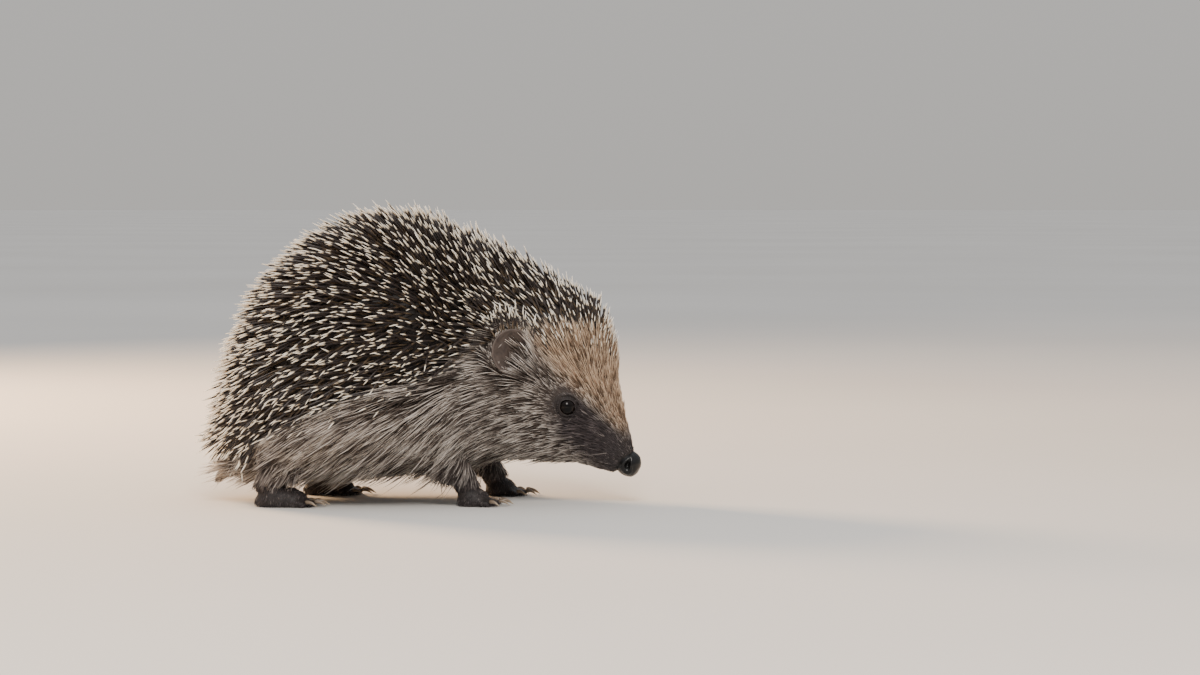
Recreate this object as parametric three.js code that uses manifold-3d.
// European hedgehog, life size, as a still museum model: it walks with a hunched back and its nose near the ground.
// Millimetres. +X runs towards the nose, +Y to the animal's left and +Z up, and the soles lie on z = 0.
// Every outline goes out to the tips of the spines and hair. The head is turned a little to the animal's right.
import * as THREE from "three";
import { mergeVertices } from "three/addons/utils/BufferGeometryUtils.js";
import Module from "manifold-3d";

const wasm = await Module();
wasm.setup();

const HEAD_TURN = 10; // degrees that the head looks to the animal's right
const NECK_TWIST = [-6, 40]; // the stretch of the neck, along X, over which the head turns
const GAP = 0.3; // clearance between neighbouring pieces
const REACH = 400; // side of the blocks that cut the body, larger than the animal
const ROUNDNESS = 2.2; // exponent of the body's sections: 2 is an ellipse, more is squarer

// Each section joins a place on the upper outline to one on the lower outline, both [x, z].
// side is half the width, and widest says how far up the section that width lies.
const BODY = [
  { name: "rump", upper: [-109, 56], lower: [-111, 13.5], side: 25, widest: 0.42 },
  { name: "buttock", upper: [-102, 79], lower: [-96, 15.5], side: 40, widest: 0.42 },
  { name: "haunch", upper: [-88, 105], lower: [-81, 16], side: 52, widest: 0.42 },
  { name: "hip", upper: [-67, 131], lower: [-61, 17.5], side: 60, widest: 0.41 },
  { name: "loin", upper: [-41, 147], lower: [-37, 17.5], side: 65, widest: 0.4 },
  { name: "back", upper: [-9, 150.5], lower: [-9, 19.5], side: 65.5, widest: 0.4 },
  { name: "shoulder", upper: [21, 143], lower: [17, 20.5], side: 59, widest: 0.41 },
  { name: "nape", upper: [46, 130], lower: [37, 23], side: 44, widest: 0.42 },
  { name: "crown", upper: [69, 113], lower: [53, 24.5], side: 31.5, widest: 0.42 },
  { name: "brow", upper: [92, 99.5], lower: [66.5, 22], side: 24, widest: 0.43 },
  { name: "forehead", upper: [100.8, 80], lower: [77, 20], side: 18.5, widest: 0.44 },
  { name: "muzzle", upper: [101, 56], lower: [87, 16.8], side: 12.5, widest: 0.46 },
  { name: "snout", upper: [104.5, 37], lower: [95.5, 14.8], side: 8, widest: 0.5 },
  { name: "nose", upper: [108, 25], lower: [102, 13.2], side: 5.5, widest: 0.5 },
];
const NECK_BACK = 20; // where an upright cut parts the neck from the trunk, along X
const NECK_FRONT = 36; // where one parts it from the head

// The right side's places; the left side's are mirrored. The whole head is then turned.
const NOSE = { at: [105.4, 0, 18.8], length: 11, width: 10.6, height: 10, droop: 38, nostril: 1.5 };
const EYE = { radius: 3.6, at: [77, 20.2, 48.5] };
const EAR = { at: [51, 43.5, 77.5], width: 19, height: 21, thickness: 1.8, cup: 4, root: 12 };
const MOUTH = { front: [110, 12.2], corner: [80, 22.5] }; // the mouth's slit, [x, z]

// ankle and hip are [x, y, z] for the right side's leg; side mirrors them for the left.
const LEGS = [
  { name: "front_right", side: -1, hind: false, ankle: [22, 30, 10], hip: [8, 25, 42] },
  { name: "front_left", side: 1, hind: false, ankle: [34, 29, 10], hip: [12, 25, 42] },
  { name: "hind_right", side: -1, hind: true, ankle: [-76, 34, 10], hip: [-60, 29, 46] },
  { name: "hind_left", side: 1, hind: true, ankle: [-58, 34, 10], hip: [-52, 29, 46] },
];
const FRONT_FOOT = { length: 17, width: 15, height: 8.5, toe: 8, claw: 6.5, fan: 0.5 };
const HIND_FOOT = { length: 28, width: 14, height: 9, toe: 8.5, claw: 7, fan: 0.32 };
const TOES = 5; // on each foot
const TOE_RADIUS = 2.1;
const CLAW = { radius: 1, tip: 0.26, flatten: 0.8 };
const TAIL = [
  { at: [-88, 0, 27], deep: 5.5, wide: 5.5 },
  { at: [-98, 0, 17], deep: 4, wide: 4 },
  { at: [-105, 0, 9.5], deep: 1.8, wide: 1.8 },
];

const COLOURS = {
  spines: 0x54453a,
  fur: 0x8b7b6d,
  face: 0x5f534b,
  skin: 0x4a403c,
  nose: 0x17161a,
  eye: 0x0b0a0c,
  claw: 0xa08c74,
};

// ---------------------------------------------------------------- solids and meshes

// A closed three.js geometry as a solid, with its surface moved outward by grow.
function solid(geometry, grow = 0) {
  const bare = geometry.index ? geometry.toNonIndexed() : geometry.clone();
  bare.deleteAttribute("normal");
  bare.deleteAttribute("uv");
  const merged = mergeVertices(bare, 1e-4);
  const places = merged.attributes.position;
  merged.computeVertexNormals();
  const normals = merged.attributes.normal;
  for (let i = 0; i < places.count; i++) {
    places.setXYZ(
      i,
      places.getX(i) + normals.getX(i) * grow,
      places.getY(i) + normals.getY(i) * grow,
      places.getZ(i) + normals.getZ(i) * grow,
    );
  }
  return new wasm.Manifold(
    new wasm.Mesh({
      numProp: 3,
      vertProperties: places.array,
      triVerts: new Uint32Array(merged.index.array),
    }),
  );
}

// A solid as a three.js geometry with flat faces.
function geometryOf(body) {
  const made = body.getMesh();
  const places = new Float32Array(made.numVert * 3);
  for (let i = 0; i < made.numVert; i++) {
    places.set(made.vertProperties.subarray(i * made.numProp, i * made.numProp + 3), i * 3);
  }
  const shared = new THREE.BufferGeometry();
  shared.setAttribute("position", new THREE.BufferAttribute(places, 3));
  shared.setIndex(new THREE.BufferAttribute(new Uint32Array(made.triVerts), 1));
  const flat = shared.toNonIndexed();
  flat.computeVertexNormals();
  return flat;
}

function namedMesh(name, body, colour, roughness = 0.85) {
  const material = new THREE.MeshStandardMaterial({ color: colour, roughness, metalness: 0 });
  const mesh = new THREE.Mesh(geometryOf(body), material);
  mesh.name = name;
  return mesh;
}

// A block that fills everything on the far side of a plane, seen along its direction.
function beyond(point, direction) {
  const block = new THREE.BoxGeometry(REACH, REACH, REACH);
  block.translate(0, 0, REACH / 2);
  const turn = new THREE.Quaternion().setFromUnitVectors(
    new THREE.Vector3(0, 0, 1),
    direction.clone().normalize(),
  );
  block.applyQuaternion(turn);
  block.translate(point.x, point.y, point.z);
  return solid(block);
}

// ---------------------------------------------------------------- lofts

// A share of the girth that closes each end of a loft with a round cap.
function capShare(t, startCap, endCap) {
  const fromStart = Math.min(t / startCap, 1);
  const fromEnd = Math.min((1 - t) / endCap, 1);
  return Math.sqrt(1 - (1 - fromStart) ** 2) * Math.sqrt(1 - (1 - fromEnd) ** 2);
}

// A sphere whose rings are moved onto a centre line, so that its poles are the two ends of the loft.
// sectionAt(t) gives the place of a section, its up and right directions and its three girths.
function loft(sectionAt, { rings, sides, startCap, endCap, exponent = 2 }) {
  const sphere = new THREE.SphereGeometry(1, sides, rings);
  const places = sphere.attributes.position;
  const vertex = new THREE.Vector3();
  for (let i = 0; i < places.count; i++) {
    vertex.fromBufferAttribute(places, i);
    const t = THREE.MathUtils.clamp((1 - vertex.y) / 2, 0, 1);
    const { place, up, right, above, below, side } = sectionAt(t);
    const across = Math.hypot(vertex.x, vertex.z);
    if (across > 1e-6) {
      const [high, wide] = [vertex.x / across, vertex.z / across];
      const squareness =
        (Math.abs(high) ** exponent + Math.abs(wide) ** exponent) ** (-1 / exponent);
      const size = squareness * capShare(t, startCap, endCap);
      place.addScaledVector(up, high * size * (high > 0 ? above : below));
      place.addScaledVector(right, wide * size * side);
    }
    places.setXYZ(i, place.x, place.y, place.z);
  }
  return sphere;
}

// A limb: a loft along a line through stations, each with a radius up and down and one to the sides.
function limb(stations, options, grow = 0) {
  const line = new THREE.CatmullRomCurve3(stations.map((s) => new THREE.Vector3(...s.at)));
  const girth = new THREE.CatmullRomCurve3(stations.map((s) => new THREE.Vector3(s.deep, s.wide, 0)));
  const sectionAt = (t) => {
    const forward = line.getTangent(t);
    const right = new THREE.Vector3().crossVectors(forward, new THREE.Vector3(1, 0, 0));
    if (right.length() < 0.3) right.crossVectors(forward, new THREE.Vector3(0, 0, 1));
    right.normalize();
    const up = new THREE.Vector3().crossVectors(right, forward);
    const { x, y } = girth.getPoint(t);
    return { place: line.getPoint(t), up, right, above: x, below: x, side: y };
  };
  return solid(loft(sectionAt, options), grow);
}

function ball(radius, at, [sides, rings]) {
  const made = new THREE.SphereGeometry(radius, sides, rings);
  made.translate(...at);
  return made;
}

// Turns whatever lies in front of the neck to the right, about an upright line through the neck.
function turnHead(geometry) {
  const places = geometry.attributes.position;
  const [from, to] = NECK_TWIST;
  const pivot = (from + to) / 2;
  for (let i = 0; i < places.count; i++) {
    const [x, y] = [places.getX(i), places.getY(i)];
    const share = THREE.MathUtils.smoothstep(x, from, to);
    const angle = -THREE.MathUtils.degToRad(HEAD_TURN) * share;
    const [c, s] = [Math.cos(angle), Math.sin(angle)];
    places.setXYZ(i, pivot + (x - pivot) * c - y * s, (x - pivot) * s + y * c, places.getZ(i));
  }
  return geometry;
}

// ---------------------------------------------------------------- trunk, neck and head

// Where a station's name lies along the body, from 0 at the rump to 1 at the nose.
const along = (name, further = 0) =>
  (BODY.findIndex((s) => s.name === name) + further) / (BODY.length - 1);

const curveThrough = (pick) =>
  new THREE.CatmullRomCurve3(BODY.map((s) => new THREE.Vector3(...pick(s))));
const upperLine = curveThrough(({ upper: [x, z] }) => [x, 0, z]);
const lowerLine = curveThrough(({ lower: [x, z] }) => [x, 0, z]);
const girthLine = curveThrough(({ side, widest }) => [side, widest, 0]);

function bodySection(t) {
  const upper = upperLine.getPoint(t);
  const lower = lowerLine.getPoint(t);
  const { x: side, y: widest } = girthLine.getPoint(t);
  const tall = upper.distanceTo(lower);
  const up = upper.clone().sub(lower).normalize();
  const right = new THREE.Vector3(0, -1, 0);
  const place = lower.clone().addScaledVector(up, tall * widest);
  return { place, up, right, above: tall * (1 - widest), below: tall * widest, side };
}

const wholeBody = solid(
  turnHead(
    loft(bodySection, {
      rings: 34,
      sides: 28,
      startCap: along("haunch", 0.4),
      endCap: 1 - along("snout", 0.45),
      exponent: ROUNDNESS,
    }),
  ),
);

// An upright cut across the body, half a gap to one side of x.
const forwardHalf = new THREE.Vector3(1, 0, 0);
const backwardHalf = new THREE.Vector3(-1, 0, 0);
const cut = (x, way) => beyond(new THREE.Vector3(x + (way.x * GAP) / 2, 0, 0), way);
const trunkBlock = cut(NECK_BACK, backwardHalf);
const neckBlock = cut(NECK_BACK, forwardHalf).intersect(cut(NECK_FRONT, backwardHalf));
const headBlock = cut(NECK_FRONT, forwardHalf);

// ---------------------------------------------------------------- nose, eyes, ears and jaw

// The bare nose pad: a ball a little wider than high, with a nostril sunk in each side of its front.
function nosePad(grow = 0) {
  const pad = new THREE.SphereGeometry(0.5, 16, 10);
  pad.scale(NOSE.length, NOSE.width, NOSE.height);
  pad.rotateY(THREE.MathUtils.degToRad(NOSE.droop));
  pad.translate(...NOSE.at);
  let made = solid(turnHead(pad), grow);
  if (grow) return made;
  for (const side of [-1, 1]) {
    const opening = [NOSE.at[0] + 3, side * NOSE.width * 0.4, NOSE.at[2] - 1.2];
    made = made.subtract(solid(turnHead(ball(NOSE.nostril, opening, [7, 5]))));
  }
  return made;
}

const eyeBall = (side, grow = 0) =>
  solid(turnHead(ball(EYE.radius, [EYE.at[0], side * EYE.at[1], EYE.at[2]], [12, 8])), grow);

// A round ear flap on a short root: a flattened ball, cupped so that it opens outward and forward.
function ear(side, grow = 0) {
  const flap = new THREE.SphereGeometry(1, 14, 7);
  const places = flap.attributes.position;
  for (let i = 0; i < places.count; i++) {
    const [x, y, z] = [places.getX(i), places.getY(i), places.getZ(i)];
    const outward = (z * EAR.thickness) / 2 + EAR.cup * (x * x + y * y - 1);
    places.setXYZ(i, (x * EAR.width) / 2, (y * EAR.height) / 2, outward);
  }
  const facing = new THREE.Vector3(0.42, side * 0.9, 0.1).normalize();
  const tall = new THREE.Vector3(-0.3, side * 0.15, 0.94);
  tall.addScaledVector(facing, -tall.dot(facing)).normalize();
  const across = new THREE.Vector3().crossVectors(tall, facing);
  const centre = new THREE.Vector3(EAR.at[0], side * EAR.at[1], EAR.at[2]);
  flap.applyMatrix4(new THREE.Matrix4().makeBasis(across, tall, facing).setPosition(centre));
  const foot = centre
    .clone()
    .addScaledVector(tall, -EAR.height * 0.22)
    .addScaledVector(facing, -EAR.cup * 0.8);
  const inside = foot.clone().addScaledVector(facing, -EAR.root);
  const rootStations = [
    { at: foot.toArray(), deep: 4, wide: 4 },
    { at: inside.toArray(), deep: 5, wide: 5 },
  ];
  const root = limb(rootStations, { rings: 4, sides: 8, startCap: 0.3, endCap: 0.3 }, grow);
  return solid(flap, grow).add(root);
}

// The mouth is a thin cut below the nose, back to its corner under the eye.
function jawBlock(grow) {
  const [front, corner] = [MOUTH.front, MOUTH.corner].map(([x, z]) => new THREE.Vector3(x, 0, z));
  const backward = corner.clone().sub(front).normalize();
  const under = new THREE.Vector3(backward.z, 0, -backward.x).negate();
  const lip = corner.clone().addScaledVector(under, -grow);
  const hinge = corner.clone().addScaledVector(backward, grow);
  const made = beyond(lip, under).intersect(beyond(hinge, backward.negate()));
  const pivot = (NECK_TWIST[0] + NECK_TWIST[1]) / 2;
  return made.translate(-pivot, 0, 0).rotate(0, 0, -HEAD_TURN).translate(pivot, 0, 0);
}

// ---------------------------------------------------------------- legs, feet and tail

function legSolid({ side, hind, ankle, hip }, grow = 0) {
  const [top, bottom] = [hip, ankle].map(([x, y, z]) => new THREE.Vector3(x, side * y, z));
  const knee = top.clone().lerp(bottom, 0.55);
  knee.x += hind ? 2 : -2;
  knee.y += side * 2;
  const stations = [
    { at: top.toArray(), deep: hind ? 15 : 11.5, wide: hind ? 12 : 10 },
    { at: knee.toArray(), deep: hind ? 12.5 : 10, wide: hind ? 10.5 : 9 },
    { at: [bottom.x + (top.x - bottom.x) * 0.12, bottom.y, bottom.z + 6], deep: 7.4, wide: 6.8 },
    { at: [bottom.x, bottom.y, bottom.z - 5], deep: 5.4, wide: 5.4 },
  ];
  return limb(stations, { rings: 9, sides: 10, startCap: 0.2, endCap: 0.12 }, grow);
}

// Toes fan out from the front of the palm, and the middle ones reach furthest.
function toePlaces({ side, hind, ankle }) {
  const foot = hind ? HIND_FOOT : FRONT_FOOT;
  const places = [];
  for (let i = 0; i < TOES; i++) {
    const spread = (i / (TOES - 1)) * 2 - 1;
    const reach = foot.length * 0.62 - foot.width * 0.24 * spread * spread;
    const start = new THREE.Vector3(
      ankle[0] + reach,
      side * ankle[1] + spread * foot.width * 0.4,
      TOE_RADIUS * 0.9,
    );
    const way = new THREE.Vector3(Math.cos(spread * foot.fan), Math.sin(spread * foot.fan), 0);
    places.push({ start, way, length: foot.toe * (1 - 0.22 * spread * spread) });
  }
  return places;
}

function clawSolid(leg, { start, way, length }, grow = 0) {
  const reach = (leg.hind ? HIND_FOOT : FRONT_FOOT).claw;
  const root = start.clone().addScaledVector(way, length - 1.4);
  const middle = root.clone().addScaledVector(way, reach * 0.55);
  const tip = root.clone().addScaledVector(way, reach);
  const stations = [
    { at: [root.x, root.y, root.z + 0.7], deep: CLAW.radius, wide: CLAW.radius * CLAW.flatten },
    { at: [middle.x, middle.y, middle.z + 0.9], deep: CLAW.radius, wide: CLAW.radius * CLAW.flatten },
    { at: [tip.x, tip.y, 0.8], deep: CLAW.tip, wide: CLAW.tip },
  ];
  return limb(stations, { rings: 4, sides: 5, startCap: 0.12, endCap: 0.08 }, grow);
}

// A palm with five toes, cut level at the floor so that it stands on a small flat.
function footSolid(leg) {
  const foot = leg.hind ? HIND_FOOT : FRONT_FOOT;
  const palm = new THREE.SphereGeometry(0.5, 12, 6);
  palm.scale(foot.length, foot.width, foot.height * 1.7);
  const forward = foot.length * (leg.hind ? 0.26 : 0.2);
  palm.translate(leg.ankle[0] + forward, leg.side * leg.ankle[1], foot.height * 0.34);
  let made = solid(palm);
  for (const { start, way, length } of toePlaces(leg)) {
    const toe = new THREE.SphereGeometry(1, 7, 4);
    toe.scale(TOE_RADIUS, length * 0.75, TOE_RADIUS);
    toe.rotateZ(Math.atan2(way.y, way.x) - Math.PI / 2);
    const middle = start.clone().addScaledVector(way, length * 0.25);
    toe.translate(middle.x, middle.y, middle.z);
    made = made.add(solid(toe));
  }
  return made.intersect(beyond(new THREE.Vector3(), new THREE.Vector3(0, 0, 1)));
}

const tailSolid = (grow = 0) =>
  limb(TAIL, { rings: 8, sides: 8, startCap: 0.2, endCap: 0.16 }, grow);

// ---------------------------------------------------------------- the parts

// What sits in the body's own sockets, each cut out a little larger than it is.
let bodyWithSockets = wholeBody.subtract(tailSolid(GAP)).subtract(nosePad(GAP));
for (const side of [-1, 1]) {
  bodyWithSockets = bodyWithSockets.subtract(ear(side, GAP)).subtract(eyeBall(side, GAP));
}
for (const leg of LEGS) {
  bodyWithSockets = bodyWithSockets.subtract(legSolid(leg, GAP));
}

const parts = [];
const add = (...mesh) => parts.push(namedMesh(...mesh));
const fullHead = bodyWithSockets.intersect(headBlock);
add("trunk", bodyWithSockets.intersect(trunkBlock), COLOURS.spines);
add("neck", bodyWithSockets.intersect(neckBlock), COLOURS.spines);
add("head", fullHead.subtract(jawBlock(GAP)), COLOURS.fur);
add("lower_jaw", fullHead.intersect(jawBlock(0)), COLOURS.face);
add("nose", nosePad(), COLOURS.nose, 0.35);
add("tail", tailSolid(), COLOURS.skin);
for (const [name, side] of [["right", -1], ["left", 1]]) {
  add(`eye_${name}`, eyeBall(side), COLOURS.eye, 0.08);
  add(`ear_${name}`, ear(side), COLOURS.face);
}
for (const leg of LEGS) {
  const foot = footSolid(leg);
  const toes = toePlaces(leg);
  const bare = toes.reduce((made, toe) => made.subtract(clawSolid(leg, toe, GAP)), foot);
  add(`leg_${leg.name}`, legSolid(leg), COLOURS.fur);
  add(`foot_${leg.name}`, bare.subtract(legSolid(leg, GAP)), COLOURS.skin);
  toes.forEach((toe, i) => {
    add(`claw_${leg.name}_${i + 1}`, clawSolid(leg, toe), COLOURS.claw, 0.45);
  });
}

// The origin is the middle of the model's box, on the floor.
const hedgehog = new THREE.Group();
hedgehog.add(...parts);
const box = new THREE.Box3().setFromObject(hedgehog);
const middle = box.getCenter(new THREE.Vector3());
for (const part of parts) {
  part.position.set(-middle.x, -middle.y, -box.min.z);
}

export default hedgehog;
